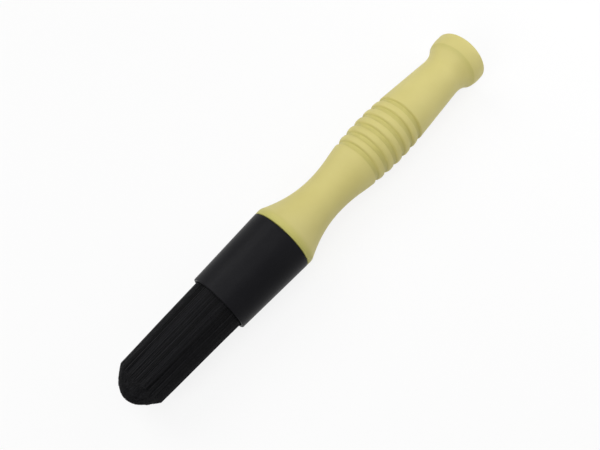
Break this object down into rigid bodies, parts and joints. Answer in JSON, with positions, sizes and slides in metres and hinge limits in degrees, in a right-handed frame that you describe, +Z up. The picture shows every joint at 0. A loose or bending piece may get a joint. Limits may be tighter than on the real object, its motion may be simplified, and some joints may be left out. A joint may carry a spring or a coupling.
{
  "type": "parts washer brush",
  "caption": "Hand-held parts washer brush with a ribbed hollow handle that takes a hose, a tapered black sleeve and a round domed pack of black bristles that fluid flows through.",
  "frame": {"origin": "bottom centre of the bounding box of the brush as it lies on a bench, on its flange and its rear knob", "axes": "+X along the brush from the bristle tip towards the handle's rear end, +Z up; the brush's own axis dips about one degree towards +X"},
  "size_m": [0.2486, 0.0358, 0.0359],
  "materials": {
    "handle_plastic": "fine-grained satin moulding, pale yellow-green",
    "sleeve_plastic": "satin black",
    "tube_plastic": "natural",
    "cast_resin": "cast amber",
    "bristle_nylon": "black filament with a soft sheen"
  },
  "bodies": {
    "root": {"handle": "handle_plastic", "ferrule_sleeve": "sleeve_plastic", "flow_tube": "tube_plastic", "resin_plug": "cast_resin", "bristles_core": "bristle_nylon", "bristles_inner": "bristle_nylon", "bristles_middle": "bristle_nylon", "bristles_outer": "bristle_nylon"}
  },
  "joints": []
}
